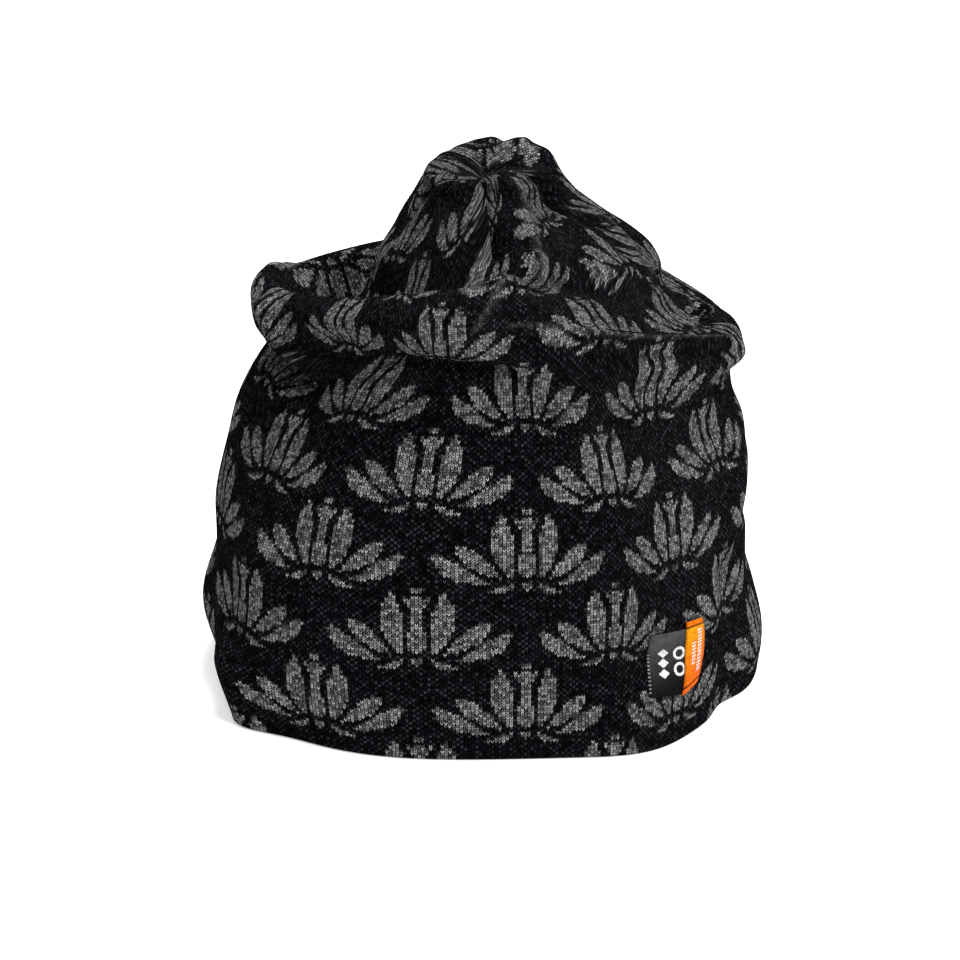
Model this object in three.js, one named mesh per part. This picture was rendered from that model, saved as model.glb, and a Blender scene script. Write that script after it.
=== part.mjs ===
// A slouchy knitted wool beanie that stands by itself on its hem, with its crown slumped into a pouch.
// Millimetres, +Z up. The front of the hat faces -Y, and the longer way across it is X.
import * as THREE from "three";
import { mergeVertices } from "three/addons/utils/BufferGeometryUtils.js";

// Thickness of the two layers of knit, and of the woven tape of the label.
const WALL = 2.2;
const TAPE = 1.0;
// What the label stands clear of the knit, and its two tapes of each other.
const SEAT = 0.35;
// Facets round the hat, and between two sections on its outer and on its inner face.
const FACETS_ROUND = 72;
const OUTER_STEPS = 3;
const INNER_STEPS = 2;

// Eight sides of the hat, 45 degrees apart: the columns of the next two tables.
const SIDES = ["front", "front_right", "right", "back_right", "back", "back_left", "left", "front_left"];

// Distance of each section from the upright axis, from the hem up the knit to the tip.
const RADIUS = {
  hem: [80, 86.5, 91, 91, 81, 92, 88, 90],
  skirt: [81, 88, 92, 92, 81, 94, 97.5, 94],
  waist: [82, 89, 86, 90, 81, 92, 93, 93],
  belly: [82, 88, 85, 88, 80, 90, 90, 91],
  chest: [80, 86, 86, 86, 78, 86, 85, 86],
  shoulder: [76, 80, 79.5, 82, 75, 82, 78.5, 80],
  tuck: [68, 77, 82.5, 80, 71, 77, 73, 70],
  lip_face: [74, 79, 84, 77, 67, 77, 78, 77],
  lip: [72, 73, 80, 70, 60, 75, 79, 76],
  lip_top: [63, 66, 67, 61, 52, 70, 71, 68],
  trough: [52, 59, 58, 52, 43, 57, 56, 57],
  slope: [44, 50, 53, 44, 35, 44, 44, 44],
  cone: [34, 39, 44, 36, 29, 34, 36, 35],
  crown: [22, 26, 31, 25, 24, 25, 27, 25],
  top: [12, 16, 21, 18, 16, 17, 17, 14],
  tip: [0, 0, 0, 0, 0, 0, 0, 0],
};

// Height of the same sections above the floor.
const HEIGHT = {
  hem: [0, 0, 0, 0, 0, 0, 0, 0],
  skirt: [22, 22, 16, 22, 22, 22, 24, 22],
  waist: [44, 44, 38, 44, 44, 44, 46, 44],
  belly: [66, 65, 59, 64, 66, 66, 68, 66],
  chest: [88, 85, 80, 84, 88, 86, 88, 87],
  shoulder: [108, 102, 97, 103, 109, 104, 104, 106],
  tuck: [121, 116, 106, 115, 122, 115, 114, 118],
  lip_face: [134, 127, 114, 123, 130, 123, 123, 129],
  lip: [148, 134, 121, 128, 136, 130, 132, 142],
  lip_top: [153, 139, 128, 132, 141, 132, 136, 145],
  trough: [147, 145, 134, 138, 147, 122, 120, 127],
  slope: [153, 152, 144, 146, 155, 132, 130, 136],
  cone: [162, 160, 154, 157, 164, 150, 147, 151],
  crown: [170, 168, 166, 169, 173, 166, 163, 165],
  top: [175, 177, 176, 179, 181, 178, 175, 174],
  tip: [173, 173, 173, 173, 173, 173, 173, 173],
};

// The slump moves the axis of the upper sections to the left and the front: x, y.
const LEAN = {
  cone: [-1, -1],
  crown: [-2, -3],
  top: [-3, -7],
  tip: [-3, -11],
};

// Each fold or seam is a band laid over the sections, from one place to another. A place is a side in degrees,
// 0 at the front and 90 at the right, and a section counted from the hem. Width and taper are its half width and
// the length of its ends. It moves the knit out and up by so much at its middle, and sharp is 2 for a soft roll.
const FOLD_COLUMNS = ["side0", "row0", "side1", "row1", "width", "taper", "out", "up", "sharp"];
const FOLDS = {
  hem_front_left: [-57, 0, -57, 2.5, 13, 14, 4, 0, 2],
  hem_right_dent: [61, 0, 61, 2.2, 12, 12, -3.5, 0, 2],
  right_dent: [30, 5.2, 62, 4.2, 12, 12, -3.5, 0, 2],
  left_tuck: [-35, 6.2, -80, 6, 6, 12, -3, 0, 2],
  front_crease: [16, 7.9, 74, 8.1, 5.5, 8, 2, 1.5, 2],
  right_pocket: [68, 8.9, 86, 8.8, 6.5, 6, -3, -3, 2],
  ridge: [13, 9.6, 26, 13.4, 7, 10, 3.5, 1.5, 2],
  ridge_valley: [28, 9.8, 44, 13, 7.5, 10, -4, -2, 2],
  right_lobe: [100, 14.2, 118, 14.2, 7, 6, 2.5, 3, 2],
  front_seam: [0, 11.6, 0, 15, 5, 6, -5, 0, 1.5],
  right_seam: [82, 13.2, 82, 15, 5, 5, -4, 0, 1.5],
  back_seam: [172, 13.4, 172, 15, 5, 5, -4, 0, 1.5],
  left_seam: [262, 12.8, 262, 15, 5, 5, -4, 0, 1.5],
};
// Knit between two sections, about, which turns the folds' rows into millimetres.
const ROW_SPACING = 15.5;
// A fold fades out within this radius of the tip.
const TIP_FADE = 14;
const TIP_REACH = 6;
// Points closer than this are one.
const MERGE = 1e-4;

// The two tapes of the label, as far as they reach round the hat and up it.
const TAPES = {
  label_black: { side0: 34.6, side1: 44.0, row0: 0.74, row1: 1.82, colour: 0x0c0c0e },
  label_orange: { side0: 44.3, side1: 49.7, row0: 0.72, row1: 1.89, colour: 0xe2661a },
};
const TAPE_STEPS_ROUND = 6;
const TAPE_STEPS_UP = 8;

const rows = Object.keys(RADIUS);
const LAST = rows.length - 1;
const radius = rows.map((row) => RADIUS[row]);
const height = rows.map((row) => HEIGHT[row]);
const lean = rows.map((row) => LEAN[row] ?? [0, 0]);
const folds = Object.values(FOLDS).map((row) =>
  Object.fromEntries(FOLD_COLUMNS.map((column, i) => [column, row[i]])),
);

// A smooth curve through four even values, between the middle two.
function through(a, b, c, d, t) {
  const pull = (2 * a - 5 * b + 4 * c - d) * t * t + (3 * b - a - 3 * c + d) * t ** 3;
  return 0.5 * (2 * b + (c - a) * t + pull);
}

function smoothStep(x) {
  const t = THREE.MathUtils.clamp(x, 0, 1);
  return t * t * (3 - 2 * t);
}

// The value of a table at a side and a row, smooth both ways.
function fromTable(table, side, row) {
  const n = SIDES.length;
  const column = ((side / 360) * n + n) % n;
  const j = Math.floor(column);
  const i = Math.min(Math.floor(row), LAST - 1);
  const across = (k) => {
    const line = table[k];
    return through(line[(j + n - 1) % n], line[j % n], line[(j + 1) % n], line[(j + 2) % n], column - j);
  };
  const b = across(i);
  const c = across(i + 1);
  const a = i > 0 ? across(i - 1) : 2 * b - c;
  const d = i < LAST - 1 ? across(i + 2) : 2 * c - b;
  return through(a, b, c, d, row - i);
}

function leanAt(row, axis) {
  const i = Math.min(Math.floor(row), LAST - 1);
  const value = (k) => lean[THREE.MathUtils.clamp(k, 0, LAST)][axis];
  return through(value(i - 1), value(i), value(i + 1), value(i + 2), row - i);
}

// How much of a fold is felt at a side and a row, from 0 to 1.
function foldWeight(fold, side, row, reach) {
  const middle = (fold.side0 + fold.side1) / 2;
  const turned = ((((side - middle + 180) % 360) + 360) % 360) - 180;
  const x = THREE.MathUtils.degToRad(turned) * reach;
  const y = (row - (fold.row0 + fold.row1) / 2) * ROW_SPACING;
  const halfX = THREE.MathUtils.degToRad((fold.side1 - fold.side0) / 2) * reach;
  const halfY = ((fold.row1 - fold.row0) / 2) * ROW_SPACING;
  const half = Math.hypot(halfX, halfY);
  const along = (x * halfX + y * halfY) / half;
  const across = (y * halfX - x * halfY) / half;
  const end = smoothStep((half + fold.taper - Math.abs(along)) / fold.taper);
  return end * Math.exp(-(Math.abs(across / fold.width) ** fold.sharp));
}

// A point of the hat's outer face.
function outerPoint(side, row) {
  const plain = fromTable(radius, side, row);
  const fade = smoothStep(plain / TIP_FADE);
  let r = plain;
  let z = fromTable(height, side, row);
  for (const fold of folds) {
    const weight = foldWeight(fold, side, row, Math.max(plain, TIP_REACH));
    r += fold.out * weight * fade;
    z += fold.up * weight;
  }
  const a = THREE.MathUtils.degToRad(side);
  r = Math.max(r, 0);
  return new THREE.Vector3(leanAt(row, 0) + Math.sin(a) * r, leanAt(row, 1) - Math.cos(a) * r, z);
}

// The outward direction at a point of the outer face: level at the hem, straight up at the tip.
function outward(side, row) {
  if (row >= LAST) return new THREE.Vector3(0, 0, 1);
  const turn = 1;
  const rise = 0.05;
  const round = outerPoint(side + turn, row).sub(outerPoint(side - turn, row));
  const up = outerPoint(side, Math.min(row + rise, LAST)).sub(outerPoint(side, Math.max(row - rise, 0)));
  const normal = round.cross(up);
  if (row === 0) normal.z = 0;
  return normal.normalize();
}

function innerPoint(side, row) {
  return outerPoint(side, row).addScaledVector(outward(side, row), -WALL);
}

// A surface through rings of points, each ring joined to the next, with any further triangles that close it. Where a
// ring comes to a point its points are merged, and the triangles that lose their area are dropped.
function surfaceOfRings(rings, closing = []) {
  const around = rings[0].length;
  const index = [];
  for (let i = 0; i < rings.length - 1; i += 1) {
    for (let j = 0; j < around; j += 1) {
      const [a, b] = [i * around + j, i * around + ((j + 1) % around)];
      index.push(a, b, b + around, a, b + around, a + around);
    }
  }
  const positions = rings.flat().flatMap((p) => [p.x, p.y, p.z]);
  const loose = new THREE.BufferGeometry();
  loose.setAttribute("position", new THREE.Float32BufferAttribute(positions, 3));
  loose.setIndex([...index, ...closing]);
  const made = mergeVertices(loose, MERGE);
  const merged = made.index.array;
  const kept = [];
  for (let i = 0; i < merged.length; i += 3) {
    const [a, b, c] = merged.slice(i, i + 3);
    if (a !== b && b !== c && c !== a) kept.push(a, b, c);
  }
  made.setIndex(kept);
  made.computeVertexNormals();
  return made;
}

// One ring of points round the hat.
function ring(point, row) {
  return Array.from({ length: FACETS_ROUND }, (_, j) => point((j * 360) / FACETS_ROUND, row));
}

// The knit: its inner face from the tip down to the hem, the flat foot of the hem, and its outer face up to the tip.
function knitBody() {
  const tip = outerPoint(0, LAST);
  const innerTip = tip.clone().setZ(tip.z - WALL);
  const rings = [ring(() => innerTip)];
  for (let k = (LAST - 1) * INNER_STEPS; k >= 0; k -= 1) rings.push(ring(innerPoint, k / INNER_STEPS));
  for (let k = 0; k < LAST * OUTER_STEPS; k += 1) rings.push(ring(outerPoint, k / OUTER_STEPS));
  rings.push(ring(() => tip));
  return surfaceOfRings(rings);
}

// A tape of the label: a thin curved plate that follows the knit, a little clear of it.
function tapeGeometry({ side0, side1, row0, row1 }) {
  const across = Array.from({ length: TAPE_STEPS_ROUND + 1 }, (_, j) => j / TAPE_STEPS_ROUND);
  const section = [
    ...across.map((t) => [t, SEAT + TAPE]),
    ...across.toReversed().map((t) => [t, SEAT]),
  ];
  const loops = [];
  for (let k = 0; k <= TAPE_STEPS_UP; k += 1) {
    const row = THREE.MathUtils.lerp(row0, row1, k / TAPE_STEPS_UP);
    loops.push(section.map(([t, off]) => {
      const side = THREE.MathUtils.lerp(side0, side1, t);
      return outerPoint(side, row).addScaledVector(outward(side, row), off);
    }));
  }
  const around = section.length;
  const top = TAPE_STEPS_UP * around;
  const ends = [];
  for (let j = 0; j < TAPE_STEPS_ROUND; j += 1) {
    const [a, b, c, d] = [j, j + 1, around - 2 - j, around - 1 - j];
    ends.push(a, c, b, a, d, c);
    ends.push(top + a, top + b, top + c, top + a, top + c, top + d);
  }
  return surfaceOfRings(loops, ends);
}

function named(name, geometry, look) {
  const mesh = new THREE.Mesh(geometry, new THREE.MeshStandardMaterial(look));
  mesh.name = name;
  return mesh;
}

const hat = new THREE.Group();
hat.add(named("knit_body", knitBody(), { color: 0x1b1b20, roughness: 0.95, metalness: 0 }));
for (const [name, tape] of Object.entries(TAPES)) {
  hat.add(named(name, tapeGeometry(tape), { color: tape.colour, roughness: 0.6, metalness: 0 }));
}

// The origin is on the floor, under the middle of the hat's box.
const middle = new THREE.Box3().setFromObject(hat).getCenter(new THREE.Vector3());
hat.position.set(-middle.x, -middle.y, 0);
const part = new THREE.Group();
part.add(hat);

export default part;
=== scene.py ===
import math

import bmesh
import bpy
import numpy as np
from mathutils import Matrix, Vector


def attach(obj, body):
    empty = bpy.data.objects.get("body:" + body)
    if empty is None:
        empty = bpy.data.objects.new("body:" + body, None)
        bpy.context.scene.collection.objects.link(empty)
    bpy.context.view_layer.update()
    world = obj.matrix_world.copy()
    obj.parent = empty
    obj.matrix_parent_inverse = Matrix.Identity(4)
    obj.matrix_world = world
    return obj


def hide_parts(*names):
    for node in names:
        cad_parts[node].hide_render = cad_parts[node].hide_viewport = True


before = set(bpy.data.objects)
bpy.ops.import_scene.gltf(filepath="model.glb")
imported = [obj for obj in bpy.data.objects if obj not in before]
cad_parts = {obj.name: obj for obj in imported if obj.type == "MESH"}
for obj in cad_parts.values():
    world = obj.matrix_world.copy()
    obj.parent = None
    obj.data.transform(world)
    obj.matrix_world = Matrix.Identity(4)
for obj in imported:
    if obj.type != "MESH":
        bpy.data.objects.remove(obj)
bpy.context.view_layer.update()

# The camera looks at the front of the hat from about a metre away and a little above it, with a long lens,
# as the photograph was taken.
CAMERA_AIM = Vector((-0.00137, 0.00055, 0.0655))
CAMERA_DISTANCE = 1.100
CAMERA_ELEVATION = math.radians(21)
CAMERA_LENS_MM = 122.8
SENSOR_WIDTH_MM = 36
NEAREST_SEEN = 0.05
FARTHEST_SEEN = 20

camera_data = bpy.data.cameras.new("camera")
camera_data.lens = CAMERA_LENS_MM
camera_data.sensor_width = SENSOR_WIDTH_MM
camera_data.clip_start = NEAREST_SEEN
camera_data.clip_end = FARTHEST_SEEN
camera = bpy.data.objects.new("camera", camera_data)
towards_camera = Vector((0, -math.cos(CAMERA_ELEVATION), math.sin(CAMERA_ELEVATION)))
camera.location = CAMERA_AIM + towards_camera * CAMERA_DISTANCE
camera.rotation_euler = (math.pi / 2 - CAMERA_ELEVATION, 0, 0)
bpy.context.scene.collection.objects.link(camera)
bpy.context.scene.camera = camera


# The studio is a white sweep: a pale floor that goes over into white all round, lit softly from above and
# in front by large lamps.
FLOOR_SIZE = 16.0
FLOOR_DROP = 0.0002
FLOOR_COLOUR = (0.9, 0.9, 0.9, 1)
FLOOR_ROUGHNESS = 0.7
FLOOR_GRAIN = 0.1
FLOOR_GRAIN_SCALE = 9.0
FLOOR_GLOW = 0.35
WORLD_STRENGTH = 0.25
# Each soft lamp: where it stands, how wide it is, and its power in watts.
LAMPS = {
    "lamp_top": ((0.25, -0.05, 2.0), 0.9, 48),
    "lamp_front_right": ((1.1, -1.4, 1.4), 0.7, 54),
    "lamp_back": ((-0.8, 1.4, 1.4), 1.0, 22),
}


class Wire:
    """A socket of a shader, on which plain arithmetic adds Math nodes."""

    def __init__(self, finish, socket):
        self.finish = finish
        self.socket = socket

    def math(self, operation, *others):
        return self.finish.add("ShaderNodeMath", {"operation": operation}, dict(enumerate((self, *others))))

    def __add__(self, other):
        return self.math("ADD", other)

    def __radd__(self, other):
        return self.math("ADD", other)

    def __sub__(self, other):
        return self.math("SUBTRACT", other)

    def __rsub__(self, other):
        return self.finish.add("ShaderNodeMath", {"operation": "SUBTRACT"}, {0: other, 1: self})

    def __mul__(self, other):
        return self.math("MULTIPLY", other)

    def __rmul__(self, other):
        return self.math("MULTIPLY", other)

    def __truediv__(self, other):
        return self.math("DIVIDE", other)

    def __pow__(self, other):
        return self.math("POWER", other)

    def __mod__(self, other):
        return self.math("FLOORED_MODULO", other)

    def __lt__(self, other):
        return self.math("LESS_THAN", other)

    def __gt__(self, other):
        return self.math("GREATER_THAN", other)

    def __abs__(self):
        return self.math("ABSOLUTE")

    def __or__(self, other):
        return self.math("MAXIMUM", other)

    def __and__(self, other):
        return self.math("MINIMUM", other)

    def floor(self):
        return self.math("FLOOR")

    def clamped(self):
        return (self | 0.0) & 1.0


class Finish:
    """A material, with one Principled shader whose sockets are set by name."""

    def __init__(self, name):
        self.material = bpy.data.materials.new(name)
        self.material.use_nodes = True
        self.tree = self.material.node_tree
        self.tree.nodes.clear()
        output = self.tree.nodes.new("ShaderNodeOutputMaterial")
        self.shader = self.tree.nodes.new("ShaderNodeBsdfPrincipled")
        self.tree.links.new(self.shader.outputs[0], output.inputs["Surface"])

    def add(self, kind, settings, inputs, out=0):
        made = self.tree.nodes.new(kind)
        for key, value in settings.items():
            setattr(made, key, value)
        self.plug(made, inputs)
        return Wire(self, made.outputs[out])

    def plug(self, made, inputs):
        for key, value in inputs.items():
            if isinstance(value, Wire):
                self.tree.links.new(value.socket, made.inputs[key])
            else:
                made.inputs[key].default_value = value

    def set(self, sockets):
        self.plug(self.shader, sockets)

    def blend(self, mask, below, above):
        """One colour, and another where the mask is 1."""
        return self.add("ShaderNodeMix", {"data_type": "RGBA"}, {0: mask, 6: below, 7: above}, 2)

    def shade(self, colour, factor):
        """A colour times a number, which may be more than 1."""
        black = (0, 0, 0, 1)
        return self.add("ShaderNodeMix", {"data_type": "RGBA", "clamp_factor": False},
                        {0: factor, 6: black, 7: colour}, 2)

    def bump(self, height, distance):
        return self.add("ShaderNodeBump", {}, {"Strength": 1.0, "Distance": distance, "Height": height})

    def split(self, vector):
        return [self.add("ShaderNodeSeparateXYZ", {}, {0: vector}, axis) for axis in range(3)]

    def join(self, x, y, z=0.0):
        return self.add("ShaderNodeCombineXYZ", {}, {0: x, 1: y, 2: z})


def new_piece(name, bm):
    """A smooth-shaded object from a bmesh, at the origin."""
    mesh = bpy.data.meshes.new(name)
    bm.to_mesh(mesh)
    bm.free()
    mesh.shade_smooth()
    made = bpy.data.objects.new(name, mesh)
    bpy.context.scene.collection.objects.link(made)
    return made


floor_finish = Finish("pale_floor")
floor_place = floor_finish.add("ShaderNodeTexCoord", {}, {}, "Object")
floor_grain = floor_finish.add("ShaderNodeTexNoise", {},
                               {"Vector": floor_place, "Scale": FLOOR_GRAIN_SCALE}, "Fac")
floor_finish.set({"Base Color": FLOOR_COLOUR, "Roughness": FLOOR_ROUGHNESS + FLOOR_GRAIN * floor_grain,
                  "Emission Color": (1, 1, 1, 1), "Emission Strength": FLOOR_GLOW})
floor_mesh = bmesh.new()
bmesh.ops.create_grid(floor_mesh, x_segments=2, y_segments=2, size=FLOOR_SIZE / 2)
floor = new_piece("studio_floor", floor_mesh)
floor.data.materials.append(floor_finish.material)
floor.location.z = -FLOOR_DROP

world = bpy.data.worlds.new("studio")
world.use_nodes = True
world.node_tree.nodes["Background"].inputs["Color"].default_value = (1, 1, 1, 1)
world.node_tree.nodes["Background"].inputs["Strength"].default_value = WORLD_STRENGTH
bpy.context.scene.world = world
bpy.context.scene.view_settings.view_transform = "Standard"

for lamp_name, (lamp_place, lamp_width, lamp_power) in LAMPS.items():
    lamp_data = bpy.data.lights.new(lamp_name, "AREA")
    lamp_data.shape = "DISK"
    lamp_data.size = lamp_width
    lamp_data.energy = lamp_power
    lamp = bpy.data.objects.new(lamp_name, lamp_data)
    lamp.location = lamp_place
    lamp.rotation_euler = (CAMERA_AIM - Vector(lamp_place)).to_track_quat("-Z", "Y").to_euler()
    bpy.context.scene.collection.objects.link(lamp)


# The hat is one tube of fine two-colour jacquard in wool, doubled with a plain lining that turns in at
# the hem. Four darts close it at the crown. It stands on its hem, and the slack upper half has slumped
# into a roll round the crown. All sizes of the knit are in millimetres until its vertices are placed.
SIDES = ["front", "front_right", "right", "back_right", "back", "back_left", "left", "front_left"]
RADIUS = {
    "hem": [80, 86.5, 91, 91, 81, 92, 88, 90],
    "skirt": [81, 88, 92, 92, 81, 94, 97.5, 94],
    "waist": [82, 89, 86, 90, 81, 92, 93, 93],
    "belly": [82, 88, 85, 88, 80, 90, 90, 91],
    "chest": [80, 86, 87.5, 86, 78, 86, 85, 86],
    "shoulder": [76, 80, 80, 82, 75, 82, 78.5, 80],
    "tuck": [68, 77, 79.8, 80, 71, 77, 73, 70],
    "lip_face": [74, 79, 84, 77, 67, 77, 78, 77],
    "lip": [72, 73, 80, 70, 60, 75, 79, 76],
    "lip_top": [63, 66, 67, 61, 52, 70, 71, 68],
    "trough": [52, 59, 58, 52, 43, 57, 56, 57],
    "slope": [44, 50, 53, 44, 35, 44, 44, 44],
    "cone": [34, 39, 44, 36, 29, 34, 36, 35],
    "crown": [22, 26, 31, 25, 24, 25, 27, 25],
    "top": [12, 16, 21, 18, 16, 17, 17, 14],
    "tip": [0, 0, 0, 0, 0, 0, 0, 0],
}
HEIGHT = {
    "hem": [0, 0, 0, 0, 0, 0, 0, 0],
    "skirt": [22, 22, 16, 22, 22, 22, 24, 22],
    "waist": [44, 44, 38, 44, 44, 44, 46, 44],
    "belly": [66, 65, 59, 64, 66, 66, 68, 66],
    "chest": [88, 85, 80, 84, 88, 86, 88, 87],
    "shoulder": [108, 102, 97, 103, 109, 104, 104, 106],
    "tuck": [121, 116, 106, 115, 122, 115, 114, 118],
    "lip_face": [134, 127, 114, 123, 130, 123, 123, 129],
    "lip": [148, 134, 121, 128, 136, 130, 132, 142],
    "lip_top": [153, 139, 128, 132, 141, 132, 136, 145],
    "trough": [147, 145, 134, 138, 147, 122, 120, 127],
    "slope": [153, 152, 144, 146, 155, 132, 130, 136],
    "cone": [162, 160, 154, 157, 164, 150, 147, 151],
    "crown": [170, 168, 166, 169, 173, 166, 163, 165],
    "top": [175, 177, 176, 179, 181, 178, 175, 174],
    "tip": [173, 173, 173, 173, 173, 173, 173, 173],
}
LEAN = {"cone": (-1, -1), "crown": (-2, -3), "top": (-3, -7), "tip": (-3, -11)}
# Folds, creases and seams: side and row of each end, half width, length of its ends, how far it moves the
# knit out and up, and how sharp it is, 2 for a soft roll and 1 for a crease. A side is in degrees from
# the front towards the right, and a row is a place in the list of sections, from hem, 0, to tip, 15.
FOLDS = {
    "hem_front_left": (-55, 0, -55, 2.5, 14, 14, 3, 0, 2),
    "hem_corner": (-59, 0, -59, 0.9, 13, 9, 6.3, 0, 2),
    "hem_front_right": (34, 0, 34, 0.8, 20, 12, 5, 0, 2),
    "hem_right_dent": (63, 0.2, 63, 2.2, 11, 12, -4.2, 0, 2),
    "left_hem": (-88, 0.4, -88, 0.6, 12, 6, -2.6, 0, 2),
    "left_belly": (-88, 2.8, -88, 5.4, 24, 14, 1.9, 0, 2),
    "right_notch": (88, 3.2, 88, 4.1, 20, 8, -3, 0, 2),
    "right_tuck": (66, 6.1, 98, 6.1, 5.5, 8, -2, 0, 2),
    "right_dent": (30, 5.3, 62, 4.3, 12, 12, -3.5, 0, 2),
    "left_tuck": (-53, 5.6, -86, 6.5, 5, 10, -4.5, 0, 1.5),
    "left_fold": (-68, 8.2, -53, 6.1, 6, 8, 4.5, 0, 2),
    "left_recess": (-46, 6.95, -28, 7.0, 9, 10, -4.2, 0, 2),
    "roll_valley": (-26, 6.9, 3, 6.45, 4, 10, -6.5, 0.8, 1.3),
    "roll_face": (-46, 8.0, -4, 7.9, 8, 14, 3.8, -0.8, 2),
    "trough_left": (-128, 9.75, -14, 10.0, 6, 14, 2.5, -9, 1.7),
    "trough_front": (-24, 9.95, 1, 10.4, 4.5, 7, 0, -6, 1.7),
    "left_rim": (-104, 8.7, -86, 8.6, 12, 10, 1, 2, 2),
    "back_left_rim": (-146, 8.9, -119, 8.7, 12, 10, 0, -2, 2),
    "front_crease": (8, 7.7, 68, 7.85, 3.4, 9, 3.6, 2.4, 1.2),
    "under_crease": (24, 7.1, 74, 7.2, 5, 10, -3.2, 0, 1.8),
    "right_pocket": (72, 8.75, 90, 8.7, 4.5, 6, -6.5, -4.5, 1.7),
    "right_lip": (88, 9.6, 106, 9.8, 10, 8, -4.8, -0.8, 2),
    "back_right_lip": (104, 7.9, 122, 8.2, 9, 8, -2.4, 0, 2),
    "right_shoulder": (92, 11.4, 112, 11.4, 12, 10, 2.4, 0.4, 2),
    "right_contour": (73, 12.4, 64.5, 10.8, 3.2, 8, 2.6, 1.2, 1.2),
    "right_lip_line": (87, 9.95, 62, 8.5, 3.2, 8, 2.4, 1, 1.2),
    "swoosh": (-3, 7.8, 13, 10.5, 4, 7, 6.2, 3, 1.4),
    "rim_climb": (1, 8.7, 15, 11.0, 5.5, 9, 3.5, 5, 1.6),
    "front_hollow": (15, 8.9, 26, 10.0, 6.5, 9, -3.4, -0.8, 2),
    "ridge": (13.5, 10.4, 29, 13.5, 3.2, 9, 6, 1.7, 1.2),
    "ridge_valley": (29, 10.2, 46, 12.8, 9, 11, -5, -1, 2),
    "left_flank": (-84, 12.5, -84, 13.5, 9, 7, -3.2, -0.3, 2),
    "right_lobe": (110, 14.2, 132, 14.2, 7, 6, 2.2, 3.4, 2),
    "top_lobe": (134, 14.3, 165, 14.3, 6, 6, 1, 2, 2),
    "left_lobe": (-50, 13.7, -20, 13.7, 6, 6, 2, 1.4, 2),
    "front_seam": (0, 11.2, 0, 15, 3, 5, -7, -1, 1.05),
    "right_seam": (58.5, 12.5, 58.5, 15, 3, 5, -5, 0, 1.05),
    "lobe_crease": (133, 13.7, 138, 14.8, 2.4, 4, -1.6, -1, 1.1),
    "back_seam": (154, 12.2, 154, 14.2, 3, 5, -1.8, 0, 1.05),
    "left_seam": (-74, 12.2, -74, 13.4, 3, 5, -2.4, 0, 1.05),
}
# Soft waves of the slack cloth: how many round the hat, how fast they turn up it, their phase, and their
# height.
WAVES = [
    (5, 2.1, 0.4, 0.30),
    (8, -1.4, 2.2, 0.26),
    (11, 2.9, 4.0, 0.20),
    (14, -3.3, 1.1, 0.16),
    (19, 4.6, 5.2, 0.12),
]
WAVES_FULL_ROW = 2
# The gathers that the crown seams pull into the cloth round the tip, unevenly spaced.
GATHERS = 13
GATHER_HEIGHT = 0.4
GATHER_ROWS = (12.6, 14.0)
GATHER_END = 0.8
GATHER_DRIFT = 1.7
# About how far apart two rows are along the cloth, and the radii under which folds fade out and stop
# narrowing.
ROW_SPACING = 15.5
TIP_FADE = 14
TIP_REACH = 6
# Where the axis of the hat stands in the frame.
HAT_AXIS = (2.657, 0.550)
MM = 0.001
TINY = 1e-9

LAST = len(RADIUS) - 1
radius_table = np.array([RADIUS[row] for row in RADIUS], float)
height_table = np.array([HEIGHT[row] for row in RADIUS], float)
lean_table = np.array([LEAN.get(row, (0, 0)) for row in RADIUS], float)


def smooth_step(x, start, end):
    """A soft rise from 0 at start to 1 at end."""
    x = np.clip((x - start) / (end - start), 0, 1)
    return x * x * (3 - 2 * x)


def through(a, b, c, d, t):
    """A smooth curve through four even values, between the middle two."""
    squared = 2 * a - 5 * b + 4 * c - d
    cubed = 3 * b - a - 3 * c + d
    return 0.5 * (2 * b + (c - a) * t + squared * t ** 2 + cubed * t ** 3)


def from_table(table, side, row):
    """A table of sections by sides, read smoothly at any side and row."""
    column = (side / 360 * len(SIDES)) % len(SIDES)
    j = np.floor(column).astype(int)
    i = np.minimum(np.floor(row).astype(int), LAST - 1)

    def across(section):
        line = table[np.clip(section, 0, LAST)]
        near = [((j + n) % len(SIDES))[..., None] for n in (-1, 0, 1, 2)]
        a, b, c, d = (np.take_along_axis(line, k, -1)[..., 0] for k in near)
        return through(a, b, c, d, column - j)

    b = across(i)
    c = across(i + 1)
    a = np.where(i > 0, across(i - 1), 2 * b - c)
    d = np.where(i < LAST - 1, across(i + 2), 2 * c - b)
    return through(a, b, c, d, row - i)


def lean_at(row, axis):
    """How far the crown's axis leans along X, 0, or Y, 1."""
    i = np.minimum(np.floor(row).astype(int), LAST - 1)
    a, b, c, d = (lean_table[np.clip(i + n, 0, LAST), axis] for n in (-1, 0, 1, 2))
    return through(a, b, c, d, row - i)


def fold_weight(fold, side, row, reach):
    """1 on a fold's line, falling to 0 beside it and past its ends, where the hat's radius is reach."""
    side0, row0, side1, row1, width, taper, _, _, sharp = fold
    x = np.radians((side - (side0 + side1) / 2 + 180) % 360 - 180) * reach
    y = (row - (row0 + row1) / 2) * ROW_SPACING
    half_x = np.radians((side1 - side0) / 2) * reach
    half_y = (row1 - row0) / 2 * ROW_SPACING
    half = np.hypot(half_x, half_y)
    along = (x * half_x + y * half_y) / half
    across = (y * half_x - x * half_y) / half
    return smooth_step(half + taper - np.abs(along), 0, taper) * np.exp(-np.abs(across / width) ** sharp)


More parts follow.
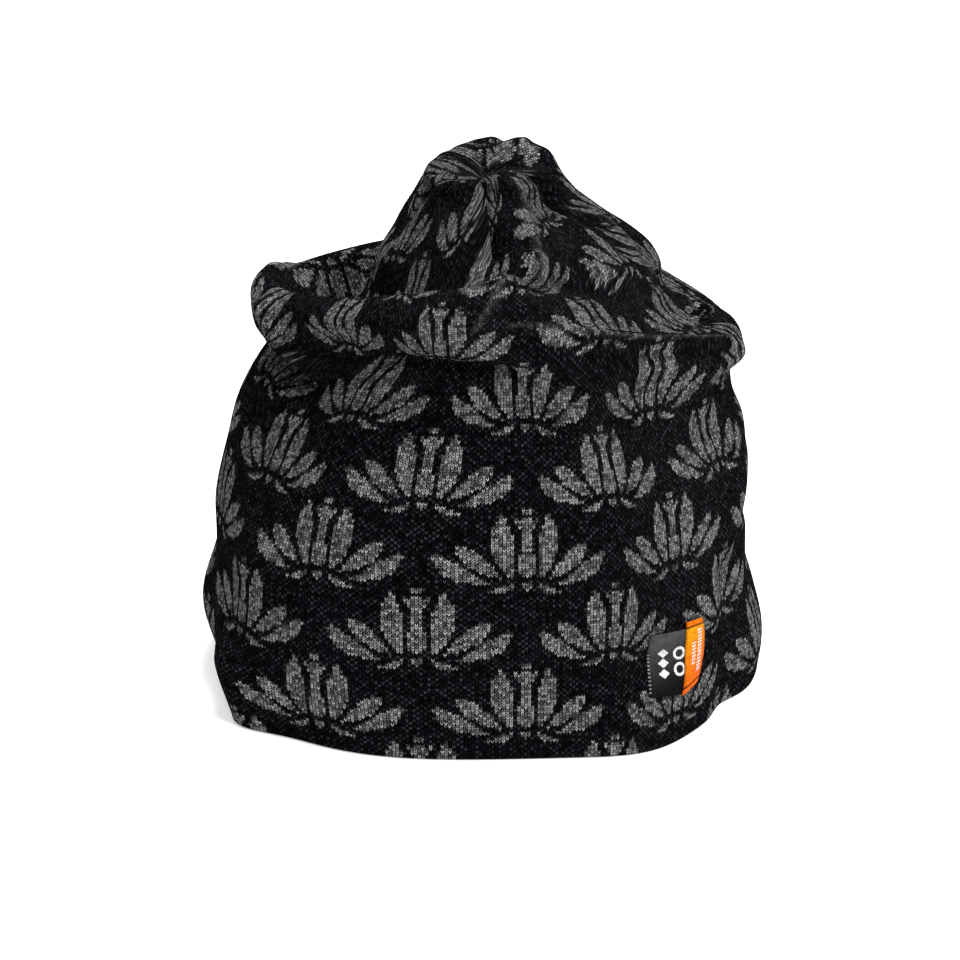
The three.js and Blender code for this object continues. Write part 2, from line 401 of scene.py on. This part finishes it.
def knit_surface(side, row):
    """The outer face of the knit at a side in degrees and a row, in millimetres in the frame."""
    side, row = np.broadcast_arrays(np.asarray(side, float), np.asarray(row, float))
    plain = from_table(radius_table, side, row)
    fade = smooth_step(plain, 0, TIP_FADE)
    r = plain.copy()
    z = from_table(height_table, side, row)
    for fold in FOLDS.values():
        out, up = fold[6:8]
        weight = fold_weight(fold, side, row, np.maximum(plain, TIP_REACH))
        r = r + out * weight * fade
        z = z + up * weight
    a = np.radians(side)
    for around, rise, phase, tall in WAVES:
        r = r + tall * np.sin(around * a + rise * row + phase) * fade * smooth_step(row, 0, WAVES_FULL_ROW)
    gathered = smooth_step(row, *GATHER_ROWS) * smooth_step(LAST - row, 0, GATHER_END)
    r = r + GATHER_HEIGHT * gathered * np.sin(GATHERS * a + GATHER_DRIFT * np.sin(3 * a + 1))
    r = np.maximum(r, 0)
    x = HAT_AXIS[0] + lean_at(row, 0) + np.sin(a) * r
    y = HAT_AXIS[1] + lean_at(row, 1) - np.cos(a) * r
    return np.stack([x, y, z], -1)


def unit(vectors):
    return vectors / np.maximum(np.linalg.norm(vectors, axis=-1, keepdims=True), TINY)


def knit_outward(side, row):
    """The outward direction of the knit at the same places."""
    turn = 0.6
    rise = 0.04
    side, row = np.broadcast_arrays(np.asarray(side, float), np.asarray(row, float))
    round_hat = knit_surface(side + turn, row) - knit_surface(side - turn, row)
    higher = np.minimum(row + rise, LAST)
    lower = np.maximum(row - rise, 0)
    up_hat = knit_surface(side, higher) - knit_surface(side, lower)
    normal = np.cross(round_hat, up_hat)
    normal[row >= LAST - TINY] = (0, 0, 1)
    return unit(normal)


# The mesh: columns round the hat, and levels up the lining, round the turned hem and up the outer layer.
COLUMNS = 320
LINING_LEVELS = 76
HEM_LEVELS = 6
OUTER_LEVELS = 204
OUTER_START = LINING_LEVELS + HEM_LEVELS
LEVELS = OUTER_START + OUTER_LEVELS
# The hem turns in round half a circle, above which the wall is as thick as that and thicker towards the
# crown.
HEM_ROUND = 1.2
HEM_TOP_ROW = 0.06
HEM_BLEND_ROW = 1.5
CROWN_WALL = 2.2
CROWN_WALL_ROW = 8
# Above this many levels over the hem's turn, the inside is the plain lining.
JACQUARD_TURNED_IN = 6
WELD_DISTANCE = 1e-6
# The sides on which the lotuses of two neighbouring rows stand, nine repeats in all, which shows where
# the cloth is stretched or slack, and the rows over which one list gives way to the next.
LOTUS_SIDES = {
    "skirt": [-57, -38, -16.5, 7.7, 27, 40.8, 60.5, 80, 100.2,
              120.4, 140.6, 160.8, 181, 201.3, 221.6, 241.9, 262.3, 282.7],
    "chest": [-50, -36, -14, 7.7, 27, 40.8, 60.5, 80, 100.2,
              120.4, 140.6, 160.8, 181, 201.3, 221.6, 243, 265, 287],
    "roll": [-37, -25, -13, 7.5, 28, 42, 60.5, 80, 100.2,
             120.4, 140.6, 160.8, 183, 207, 231, 265, 296, 310],
    "crown": [-37, -24, -5, 16, 35, 52, 67, 82, 100.2,
              120.4, 140.6, 160.8, 183, 207, 231, 265, 294, 310],
}
LOTUS_ROWS = {"chest": (3.2, 5.4), "roll": (5.8, 7.4), "crown": (9.4, 11)}
MIDDLE_LOTUS = 3
REPEAT_WALES = 56
REPEAT_COURSES = 28
COURSE_MM = 0.935
# Over how many columns the wales and the courses are evened out.
SLACK_COLUMNS = 11
EVENED_COLUMNS = 41
# Where the cloth lies snug, which raises the courses by some stitches, more on the right than on the left.
SNUG_ROWS = (3.2, 5.7)
SNUG_COURSES = 1.6
SNUG_TO_RIGHT = 1.2
# Where the pattern on the front right sits higher than the way up the cloth tells, and by how many
# stitches.
LIFT_SIDES = (12, 84)
LIFT_BLEND = 8
LIFT_ROWS = (6.6, 7.8)
LIFT_COURSES = 3
# The four darts, the row at their foot, and the same lift for each of the panels that they part.
DART_COLUMNS = [0, 52, 137, 254, 320]
DART_ROW = 9.8
PANEL_LIFTS = np.array([3, 0, 0, 19])
PANEL_LIFT_ROWS = (9.8, 11.2)

grid = bmesh.new()
grid.loops.layers.uv.new("knit")
bmesh.ops.create_grid(grid, x_segments=COLUMNS, y_segments=LEVELS, size=0.5, calc_uvs=True)
knit = new_piece("knit_shell", grid)
mesh = knit.data
places = np.zeros(len(mesh.vertices) * 3)
mesh.vertices.foreach_get("co", places)
places = places.reshape(-1, 3)
column = np.rint((places[:, 0] + 0.5) * COLUMNS).astype(int)
level = np.rint((places[:, 1] + 0.5) * LEVELS).astype(int)

lattice_side, lattice_level = np.meshgrid(np.arange(COLUMNS + 1) * 360 / COLUMNS, np.arange(LEVELS + 1))
up_outside = np.clip((lattice_level - OUTER_START) / OUTER_LEVELS, 0, 1)
up_inside = np.clip(1 - lattice_level / LINING_LEVELS, 0, 1)
outer_row = HEM_TOP_ROW + (LAST - HEM_TOP_ROW) * up_outside
lining_row = HEM_TOP_ROW + (LAST - HEM_TOP_ROW) * up_inside
outer_points = knit_surface(lattice_side, outer_row)
level_normal = knit_outward(lattice_side, np.full_like(outer_row, HEM_TOP_ROW))
level_normal[..., 2] = 0
level_normal = unit(level_normal)
hem_edge = knit_surface(lattice_side, np.full_like(outer_row, HEM_TOP_ROW))
hem_edge[..., 2] = HEM_ROUND
hem_turn = math.pi * np.clip(1 - (lattice_level - LINING_LEVELS) / HEM_LEVELS, 0, 1)[..., None]
hem_points = hem_edge + level_normal * HEM_ROUND * (np.cos(hem_turn) - 1)
hem_points[..., 2] -= HEM_ROUND * np.sin(hem_turn[..., 0])
wall = 2 * HEM_ROUND + CROWN_WALL * smooth_step(lining_row, CROWN_WALL_ROW, LAST)
past_hem = smooth_step(lining_row, 0, HEM_BLEND_ROW)[..., None]
lining_normal = unit(knit_outward(lattice_side, lining_row) * past_hem + level_normal * (1 - past_hem))
lining_points = knit_surface(lattice_side, lining_row) - lining_normal * wall[..., None]
is_lining = (lattice_level < LINING_LEVELS)[..., None]
is_hem = (lattice_level < OUTER_START)[..., None]
lattice = np.where(is_lining, lining_points, np.where(is_hem, hem_points, outer_points))
lattice[:, -1] = lattice[:, 0]
lattice[0] = lattice[0].mean(0)
lattice[-1] = lattice[-1].mean(0)
mesh.vertices.foreach_set("co", (lattice[level, column] * MM).ravel())

# The stitches run along the cloth: wales by the way round it, courses by the way up it. Between two darts
# the crown keeps the wales it has at their foot, and each dart cuts the rest away.
steps = np.linalg.norm(np.diff(lattice, axis=0), axis=-1)
courses = np.vstack([np.zeros(COLUMNS + 1), np.cumsum(steps, axis=0)])
courses = (courses - courses[OUTER_START]) / COURSE_MM
evened = np.hanning(EVENED_COLUMNS)
around = (np.arange(COLUMNS + EVENED_COLUMNS) - EVENED_COLUMNS // 2) % COLUMNS
courses = np.array([np.convolve(line[around], evened / evened.sum(), "valid") for line in courses])
snug = SNUG_COURSES + SNUG_TO_RIGHT * np.sin(np.radians(lattice_side))
courses += snug * smooth_step(outer_row, *SNUG_ROWS)
from_front = (lattice_side + 180) % 360 - 180
after_first = smooth_step(from_front, LIFT_SIDES[0] - LIFT_BLEND, LIFT_SIDES[0] + LIFT_BLEND)
before_last = smooth_step(-from_front, -LIFT_SIDES[1] - LIFT_BLEND, -LIFT_SIDES[1] + LIFT_BLEND)
courses -= LIFT_COURSES * after_first * before_last * smooth_step(outer_row, *LIFT_ROWS)
turned = np.arange(-COLUMNS, 2 * COLUMNS + 1) * 360 / COLUMNS
slack = np.hanning(SLACK_COLUMNS)


def wales_round(sides):
    """The wale at each column of the mesh, with the middle lotus's axis at 0.5."""
    knots = np.concatenate([np.array(sides) + turn * 360 for turn in (-1, 0, 1)])
    halves = np.arange(len(knots)) - len(sides) - MIDDLE_LOTUS
    evenly = np.interp(turned, knots, halves * REPEAT_WALES / 2)
    return np.convolve(evenly, slack / slack.sum(), "same")[COLUMNS:2 * COLUMNS + 1] + 0.5


wales = np.broadcast_to(wales_round(LOTUS_SIDES["skirt"]), outer_row.shape)
for zone, zone_rows in LOTUS_ROWS.items():
    reached = smooth_step(outer_row, *zone_rows)
    wales = wales * (1 - reached) + wales_round(LOTUS_SIDES[zone]) * reached
ring_length = np.linalg.norm(np.diff(lattice, axis=1), axis=-1).sum(1)
dart_level = OUTER_START + round(OUTER_LEVELS * DART_ROW / LAST)
kept = np.where(np.arange(len(ring_length)) > dart_level, ring_length / ring_length[dart_level], 1)

corner = np.zeros(len(mesh.loops), int)
mesh.loops.foreach_get("vertex_index", corner)
corner_column, corner_level = column[corner], level[corner]
face_column = corner_column.reshape(-1, 4).min(1).repeat(4)
panel = np.searchsorted(DART_COLUMNS, face_column, side="right") - 1
middle_columns = (np.array(DART_COLUMNS[:-1]) + np.array(DART_COLUMNS[1:])) // 2
panel_middle = wales[corner_level, middle_columns[panel]]
corner_wale = panel_middle + (wales[corner_level, corner_column] - panel_middle) * kept[corner_level]
panel_lift = smooth_step(outer_row[corner_level, 0], *PANEL_LIFT_ROWS)
corner_course = courses[corner_level, corner_column] - PANEL_LIFTS[panel] * panel_lift
stitch_uv = np.stack([corner_wale, corner_course], -1)
mesh.uv_layers["knit"].data.foreach_set("uv", stitch_uv.ravel())
face_is_lining = corner_level.reshape(-1, 4).min(1) < LINING_LEVELS - JACQUARD_TURNED_IN
mesh.polygons.foreach_set("material_index", face_is_lining.astype(int))

# Along the edges of the sharp folds a painted highlight stands in for the light that loose fibres there
# catch.
HIGHLIGHTED_FOLDS = ("front_crease", "swoosh", "ridge", "right_contour", "right_lip_line")
HIGHLIGHT_WIDTH = 0.9
HIGHLIGHT_SHARPNESS = 1.2
crest_highlight = np.zeros(lattice_side.shape)
crest_reach = np.maximum(from_table(radius_table, lattice_side, outer_row), TIP_REACH)
for fold_name in HIGHLIGHTED_FOLDS:
    side0, row0, side1, row1, _, taper, out, up, _ = FOLDS[fold_name]
    crest = (side0, row0, side1, row1, HIGHLIGHT_WIDTH, taper, out, up, HIGHLIGHT_SHARPNESS)
    crest_highlight = np.maximum(crest_highlight, fold_weight(crest, lattice_side, outer_row, crest_reach))
crest_highlight[lattice_level < OUTER_START] = 0
mesh.attributes.new("crest_highlight", "FLOAT", "POINT").data.foreach_set("value", crest_highlight[level, column])

welded = bmesh.new()
welded.from_mesh(mesh)
bmesh.ops.remove_doubles(welded, verts=welded.verts, dist=WELD_DISTANCE)
welded.to_mesh(mesh)
welded.free()
mesh.shade_smooth()

# A leaf of the lotus, in stitches of the right half: its foot, its tip, its half width, how far it bends,
# where along it it is widest, and how blunt its ends are.
LOTUS_LEAVES = {
    "upright_petal": ((4.1, 5.4), (7.1, 27.7), 2.95, 0.8, 0.56, 0.75),
    "inner_petal": ((6.2, 5.2), (18.6, 16.9), 2.15, 0.35, 0.62, 0.75),
    "outer_petal": ((9.2, 3.2), (24.0, 13.0), 2.1, 1.1, 0.68, 0.62),
    "sepal": ((3.2, 3.4), (11.8, -0.4), 0.95, 0.45, 0.45, 0.7),
    "arm": ((0.9, 22.8), (3.6, 27.6), 0.75, 0.0, 0.5, 0.6),
}
# The ovals on its axis and the dot above it: the middle's height, half width and half height. The stem is
# straight.
LOTUS_FOOT = (2.9, 2.0, 1.5)
LOTUS_BUD = (10.8, 2.9, 4.6)
LOTUS_DOT = (0.7, 1.5, 1.6)
STEM_HALF_WIDTH = 1.6
STEM_MIDDLE = 18.6
STEM_HALF_HEIGHT = 8.0
PATTERN_START = 4.5
# One stitch is a pair of leaning strands, with a deep gap to the next wale and a shallow one in its middle.
STITCH_ASPECT = 0.72
STITCH_SLANT = 2.0
STRAND_ROUNDNESS = 1.1
WALE_GAP_SHARPNESS = 3
MIDDLE_GAP_WIDTH = 0.16
MIDDLE_GAP_DEPTH = 0.55
STITCH_DEPTH = 0.0005
# How much the yarn's tone varies: from stitch to stitch, in streaks along the yarn, and from fibre to
# fibre.
YARN_TONE = 0.18
STITCH_TONES = 1.5
STITCH_TONE_BIAS = 1.6
STREAK_TONES = 0.8
STREAK_PITCH = (0.22, 1.7)
FIBRE_TONES = 3.2
FIBRE_PITCH_UV = 2.6
FIBRE_RELIEF = 0.4
YARN_DARKEST = 0.04
# Light in the gaps and on top of the strands.
GAP_LIGHT = 0.015
STRAND_LIGHT = 2.9
STRAND_FALLOFF = 1.7
# The second yarn shows through the ground in every other stitch, between weakly and strongly.
FLECK_LEAST = 0.25
FLECK_MORE = 0.75
# How sparse, how speckled and how strong the painted highlight on the fold crests is.
HIGHLIGHT_SPARSENESS = 1.5
HIGHLIGHT_CUT = 0.52
HIGHLIGHT_CONTRAST = 3.4
WOOL_ROUGHNESS = 0.92
WOOL_SHEEN = 0.006
GROUND_COLOUR = (0.0016, 0.0018, 0.0031, 1)
LOTUS_COLOUR = (0.138, 0.139, 0.136, 1)
CREST_HIGHLIGHT_COLOUR = (0.13, 0.13, 0.135, 1)
FLECK_COLOUR = (0.0155, 0.0150, 0.0175, 1)


def leaf(x, y, foot, tip, half_width, bend, widest, blunt):
    """1 inside a curved leaf, 0 outside it."""
    dx = tip[0] - foot[0]
    dy = (tip[1] - foot[1]) * STITCH_ASPECT
    length = math.hypot(dx, dy)
    px = x - foot[0]
    py = (y - foot[1]) * STITCH_ASPECT
    t = ((px * dx + py * dy) / length ** 2).clamped()
    across = (px * dy - py * dx) / length - t * (1 - t) * (4 * bend)
    s = t ** (math.log(0.5) / math.log(widest))
    return abs(across) < (s * (1 - s) * 4) ** blunt * half_width


def oval(x, y, centre_y, half_x, half_y):
    return (x / half_x) ** 2 + ((y - centre_y) / half_y) ** 2 < 1


def lotus(x, y):
    """1 in a lotus of the repeat, at a whole stitch counted from the foot of its axis."""
    x = abs(x)
    mask = oval(x, y, *LOTUS_FOOT) | oval(x, y, *LOTUS_BUD)
    mask = mask | ((x < STEM_HALF_WIDTH) & (abs(y - STEM_MIDDLE) < STEM_HALF_HEIGHT))
    for sizes in LOTUS_LEAVES.values():
        mask = mask | leaf(x, y, *sizes)
    return mask


def knitted_wool(name, patterned):
    """Stitches of two yarns on the knit's own stitch grid, with or without the lotuses."""
    finish = Finish(name)
    u, v, _ = finish.split(finish.add("ShaderNodeUVMap", {"uv_map": "knit"}, {}))
    wale = u.floor()
    from_middle = abs(u - wale - 0.5)
    slanted = v - from_middle * STITCH_SLANT
    course = slanted.floor()
    along = slanted - course

    strand = ((along * (1 - along) * 4) | 0.0) ** STRAND_ROUNDNESS
    wale_gap = 1 - (from_middle * 2) ** WALE_GAP_SHARPNESS
    middle_gap = 1 - ((1 - from_middle / MIDDLE_GAP_WIDTH) | 0.0) * MIDDLE_GAP_DEPTH
    relief = strand * wale_gap * middle_gap

    stitch = finish.join(wale, course)
    tone = finish.add("ShaderNodeTexWhiteNoise", {"noise_dimensions": "2D"}, {"Vector": stitch})
    streak = finish.add("ShaderNodeTexNoise", {"noise_dimensions": "2D"},
                        {"Vector": finish.join(u * STREAK_PITCH[0], course * STREAK_PITCH[1]),
                         "Scale": 1.0, "Detail": 1.0})
    fibre = finish.add("ShaderNodeTexNoise", {"noise_dimensions": "2D"},
                       {"Vector": finish.join(u * FIBRE_PITCH_UV, v * FIBRE_PITCH_UV),
                        "Scale": 1.0, "Detail": 3.0})
    yarn = YARN_TONE + tone ** STITCH_TONE_BIAS * STITCH_TONES
    yarn = (yarn + (streak - 0.5) * STREAK_TONES + (fibre - 0.5) * FIBRE_TONES) | YARN_DARKEST
    lit = GAP_LIGHT + relief ** STRAND_FALLOFF * STRAND_LIGHT

    fleck = ((wale + course) % 2 < 0.5) * (FLECK_LEAST + tone * FLECK_MORE)
    colour = finish.blend(fleck, GROUND_COLOUR, FLECK_COLOUR)
    if patterned:
        pattern_v = course - PATTERN_START
        row = (pattern_v / REPEAT_COURSES).floor()
        y = pattern_v - row * REPEAT_COURSES
        x = (wale + (row + 1) * (REPEAT_WALES / 2)) % REPEAT_WALES - REPEAT_WALES / 2
        # The dot of a lotus stands above its own repeat, at the foot of the next one, half a repeat aside.
        dot = oval(abs(x) - REPEAT_WALES / 2, y, *LOTUS_DOT)
        colour = finish.blend(lotus(x, y) | dot, colour, LOTUS_COLOUR)
    colour = finish.shade(colour, yarn * lit)
    if patterned:
        # A painted highlight along the crests of the sharp folds, speckled like fibres catching the light.
        crest = finish.add("ShaderNodeAttribute", {"attribute_name": "crest_highlight"}, {}, "Fac")
        highlight_speckle = (fibre + tone * 0.25 - HIGHLIGHT_CUT) * HIGHLIGHT_CONTRAST
        painted_highlight = (crest ** HIGHLIGHT_SPARSENESS * highlight_speckle).clamped()
        colour = finish.blend(painted_highlight, colour, CREST_HIGHLIGHT_COLOUR)
    normal = finish.bump(relief + fibre * FIBRE_RELIEF, STITCH_DEPTH)
    finish.set({"Base Color": colour, "Roughness": WOOL_ROUGHNESS - fibre * 0.1, "Normal": normal,
                "Specular IOR Level": 0.0, "Sheen Weight": WOOL_SHEEN, "Sheen Roughness": 0.5})
    return finish.material


mesh.materials.append(knitted_wool("jacquard_wool", True))
mesh.materials.append(knitted_wool("lining_wool", False))
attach(knit, "root")
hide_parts("knit_body")


# The black half of the label is a satin woven tape, folded under at its left edge and sewn down flat on
# the knit. The orange half is a narrow twill tape that laps over its right edge. Both bow round the hat
# with the knit. A tape's corners are given by side and row: low left, low right, top left and top right.
BLACK_CORNERS = ((33.4, 0.90), (43.2, 0.80), (34.8, 1.80), (44.8, 1.77))
BLACK_MESH = (30, 44)
BLACK_LIFT = 0.95
BLACK_RIBS = 15
BLACK_PICKS = 27
BLACK_ROUGHNESS = 0.5
# The black tape's colour where its painted shading is darkest, and where it is lightest.
BLACK_LOW = (0.0012, 0.0013, 0.0022, 1)
BLACK_HIGH = (0.044, 0.045, 0.046, 1)
ORANGE_CORNERS = ((41.2, 0.80), (46.4, 0.92), (43.6, 1.88), (48.3, 1.89))
ORANGE_MESH = (18, 48)
ORANGE_BOW = (0.8, 1.6)
ORANGE_LIFT = 1.55
ORANGE_RIBS = 8
ORANGE_PICKS = 31
ORANGE_ROUGHNESS = 0.6
ORANGE_HEMS = (0.085, 0.92)
# The orange tape's colour where its painted shading is darkest, and where it is lightest.
ORANGE_LOW = (0.52, 0.082, 0.004, 1)
ORANGE_HIGH = (0.56, 0.21, 0.003, 1)
STRAIGHT = (0, 0)
NO_HEMS = (-1, 2)
EDGE_DROP = 0.25
TAPE_THICKNESS = 0.5
TAPE_RELIEF = 0.00012
SEAM_HALF_WIDTH = 0.016
MARK_COLOUR = (0.48, 0.48, 0.50, 1)
# The generic marks, in shares of a tape's width and length. Diamonds: their column's middle, their half
# sizes, where they start, how many would fill the tape, and how far from its middle they reach.
DIAMONDS_ACROSS = 0.37
DIAMOND_HALF = (0.13, 0.46)
DIAMONDS_START = 0.26
DIAMONDS_ALONG = 6.2
DIAMONDS_REACH = 0.242
# Rings: their column's middle, the middle between the two, half their distance, half sizes and hole.
RINGS_ACROSS = 0.77
RINGS_ALONG = 0.51
RINGS_APART = 0.125
RING_HALF = (0.155, 0.105)
RING_HOLE = 0.36
# Ticks: their width, how many would fill the tape, the pale share of each, their row's middle and reach.
TICKS = (0.045, 17, 0.4, 0.36, 0.3)
# Dashes: their column's middle and half width, their shift, the pale share of each, and the column's
# middle and reach along the tape.
DASHES = {
    "left": (0.40, 0.09, 0, 0.55, 0.52, 0.18),
    "right": (0.70, 0.10, 0.5, 0.60, 0.53, 0.33),
}
DASHES_ALONG = 20


def between(corners, s, t):
    """Side and row from the place across and along a tape."""
    low = np.array(corners[0])[:, None] * (1 - s) + np.array(corners[1])[:, None] * s
    top = np.array(corners[2])[:, None] * (1 - s) + np.array(corners[3])[:, None] * s
    return low * (1 - t) + top * t


def tape_piece(name, corners, bow, mesh_steps, lift):
    """A tape on the knit: lift gives the height of its face above the knit from its place across it."""
    bm = bmesh.new()
    bm.loops.layers.uv.new("tape")
    bmesh.ops.create_grid(bm, x_segments=mesh_steps[0], y_segments=mesh_steps[1], size=0.5, calc_uvs=True)
    made = new_piece(name, bm)
    co = np.zeros(len(made.data.vertices) * 3)
    made.data.vertices.foreach_get("co", co)
    s = co.reshape(-1, 3)[:, 0] + 0.5
    t = co.reshape(-1, 3)[:, 1] + 0.5
    side, row = between(corners, s, t)
    side = side + (bow[0] * (1 - s) + bow[1] * s) * 4 * t * (1 - t)
    placed = knit_surface(side, row) + knit_outward(side, row) * lift(s)[:, None]
    made.data.vertices.foreach_set("co", (placed * MM).ravel())
    thickness = made.modifiers.new("thickness", "SOLIDIFY")
    thickness.thickness = TAPE_THICKNESS * MM
    thickness.offset = -1
    return made


def woven_tape(name, colour_low, colour_high, ribs, picks, marks, hems, roughness):
    """A narrow woven tape: marks are woven in pale yarn, and hems are where it is sewn across."""
    finish = Finish(name)
    s, t, _ = finish.split(finish.add("ShaderNodeUVMap", {"uv_map": "tape"}, {}))
    rib = abs((s * ribs) % 1 - 0.5) * 2
    pick = abs((t * picks + (s * ribs).floor() * 0.37) % 1 - 0.5) * 2
    wear = finish.add("ShaderNodeTexNoise", {"noise_dimensions": "2D"},
                      {"Vector": finish.join(s * 9, t * 14), "Scale": 1.0, "Detail": 4.0})
    # Painted shading: the tape is lighter towards its top and its left side, going from its low colour to
    # its high one.
    colour = finish.blend((t * 1.1 - (s - 0.5) * 0.35).clamped() ** 1.6, colour_low, colour_high)
    folded_end = (t < hems[0]) | (t > hems[1])
    sewn = (abs(t - hems[0]) < SEAM_HALF_WIDTH) | (abs(t - hems[1]) < SEAM_HALF_WIDTH)
    colour = finish.blend(folded_end * 0.75, colour, colour_low)
    colour = finish.shade(colour, 1 - sewn * 0.8)
    colour = finish.blend(marks(s, t), colour, MARK_COLOUR)
    # Painted shade: the ribs and picks are lighter on their tops and darker between them, following the
    # weave's relief, with random wear. The tape is also painted darker towards its long edges, where it
    # turns down to the knit.
    edge = abs(s - 0.5) * 2
    woven = 0.55 + rib * 0.3 + pick * 0.35 + (wear - 0.5) * 0.9
    colour = finish.shade(colour, woven * (1 - edge ** 8 * 0.5))
    normal = finish.bump(rib * 0.5 + pick * 0.5, TAPE_RELIEF)
    finish.set({"Base Color": colour, "Roughness": roughness + (wear - 0.5) * 0.2, "Normal": normal,
                "Specular IOR Level": 0.02})
    return finish.material


def black_marks(s, t):
    """A column of three plain diamonds, a column of two rings, and the pale ticks of the selvedge."""
    place = abs((t - DIAMONDS_START) * DIAMONDS_ALONG % 1 - 0.5)
    diamonds = abs(s - DIAMONDS_ACROSS) / DIAMOND_HALF[0] + place / DIAMOND_HALF[1] < 1
    diamonds = diamonds & (abs(t - 0.5) < DIAMONDS_REACH)
    ring_along = abs(abs(t - RINGS_ALONG) - RINGS_APART) / RING_HALF[1]
    ring_place = ((s - RINGS_ACROSS) / RING_HALF[0]) ** 2 + ring_along ** 2
    rings = (ring_place < 1) & (ring_place > RING_HOLE)
    tick_width, tick_count, tick_share, tick_middle, tick_reach = TICKS
    ticks = (s < tick_width) & ((t * tick_count) % 1 < tick_share) & (abs(t - tick_middle) < tick_reach)
    return diamonds | rings | ticks * 0.6


def orange_marks(s, t):
    """Two columns of short even dashes."""
    columns = []
    for across, half_width, shift, share, middle, reach in DASHES.values():
        dashes = (t * DASHES_ALONG + shift) % 1 < share
        columns.append((abs(s - across) < half_width) & dashes & (abs(t - middle) < reach))
    return (columns[0] | columns[1]) * 0.85


black_tape = tape_piece("label_black_tape", BLACK_CORNERS, STRAIGHT, BLACK_MESH,
                        lambda s: BLACK_LIFT - EDGE_DROP * (1 - s) ** 6)
black_tape.data.materials.append(
    woven_tape("black_satin_tape", BLACK_LOW, BLACK_HIGH, BLACK_RIBS, BLACK_PICKS, black_marks,
               NO_HEMS, BLACK_ROUGHNESS))
orange_tape = tape_piece("label_orange_tape", ORANGE_CORNERS, ORANGE_BOW, ORANGE_MESH,
                         lambda s: ORANGE_LIFT - EDGE_DROP * np.abs(2 * s - 1) ** 6)
orange_tape.data.materials.append(
    woven_tape("orange_twill_tape", ORANGE_LOW, ORANGE_HIGH, ORANGE_RIBS, ORANGE_PICKS, orange_marks,
               ORANGE_HEMS, ORANGE_ROUGHNESS))
for tape, node, slot in ((black_tape, "label_black", "label_tape_black"),
                         (orange_tape, "label_orange", "label_tape_orange")):
    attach(tape, "root")
    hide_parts(node)

# Wool is never quite smooth: short loose fibres stand off the knit all over and soften its edges. One
# fibre is doubled until there are enough, each copy beside the last, and then each is stood on its own
# place of the knit.
FIBRE_DOUBLINGS = 13
FIBRE_SEED = 11
FIBRE_ROWS = (0.4, 14.6)
FIBRE_LENGTH = (0.8, 2.4)
FIBRE_RADIUS = 0.042
FIBRE_ROOT = 0.35
FIBRE_SPREAD = 0.55
FIBRE_PITCH = 0.25
FIBRE_NOISE_SCALE = 90.0
FIBRE_DARK = (0.008, 0.008, 0.010, 1)
FIBRE_PALE = (0.10, 0.10, 0.10, 1)
# Any direction that no fibre lies along, to turn the fibres from.
FIBRE_SLANT = (0.36, 0.48, 0.8)
fibres = 2 ** FIBRE_DOUBLINGS
random_fibres = np.random.default_rng(FIBRE_SEED)
fibre_side = random_fibres.uniform(0, 360, fibres)
fibre_row = random_fibres.uniform(*FIBRE_ROWS, fibres)
fibre_out = knit_outward(fibre_side, fibre_row)
fibre_foot = knit_surface(fibre_side, fibre_row) - fibre_out * FIBRE_ROOT
fibre_way = unit(fibre_out + random_fibres.normal(0, FIBRE_SPREAD, (fibres, 3)))
fibre_across = unit(np.cross(fibre_way, FIBRE_SLANT))
fibre_beside = np.cross(fibre_way, fibre_across)
fibre_size = random_fibres.uniform(*FIBRE_LENGTH, fibres)
fuzz_mesh = bmesh.new()
bmesh.ops.create_cone(fuzz_mesh, cap_ends=True, segments=3, radius1=FIBRE_RADIUS, radius2=0, depth=1)
for doubling in range(FIBRE_DOUBLINGS):
    all_parts = fuzz_mesh.verts[:] + fuzz_mesh.edges[:] + fuzz_mesh.faces[:]
    doubled = bmesh.ops.duplicate(fuzz_mesh, geom=all_parts)
    copies = [part for part in doubled["geom"] if isinstance(part, bmesh.types.BMVert)]
    bmesh.ops.translate(fuzz_mesh, verts=copies, vec=(FIBRE_PITCH * 2 ** doubling, 0, 0))
fuzz = new_piece("knit_fuzz", fuzz_mesh)
fuzz_co = np.zeros(len(fuzz.data.vertices) * 3)
fuzz.data.vertices.foreach_get("co", fuzz_co)
one = fuzz_co.reshape(-1, 3)
which = np.rint(one[:, 0] / FIBRE_PITCH).astype(int)
one[:, 0] -= which * FIBRE_PITCH
stood = (fibre_foot[which] + one[:, :1] * fibre_across[which] + one[:, 1:2] * fibre_beside[which]
         + (one[:, 2:] + 0.5) * (fibre_way * fibre_size[:, None])[which])
fuzz.data.vertices.foreach_set("co", (stood * MM).ravel())
fibre_finish = Finish("loose_fibre")
fibre_at = fibre_finish.add("ShaderNodeTexCoord", {}, {}, "Object")
fibre_tone = fibre_finish.add("ShaderNodeTexNoise", {},
                              {"Vector": fibre_at, "Scale": FIBRE_NOISE_SCALE}, "Fac")
fibre_finish.set({"Base Color": fibre_finish.blend(fibre_tone, FIBRE_DARK, FIBRE_PALE),
                  "Roughness": 0.9, "Specular IOR Level": 0.0})
fuzz.data.materials.append(fibre_finish.material)
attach(fuzz, "root")
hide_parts("knit_body")
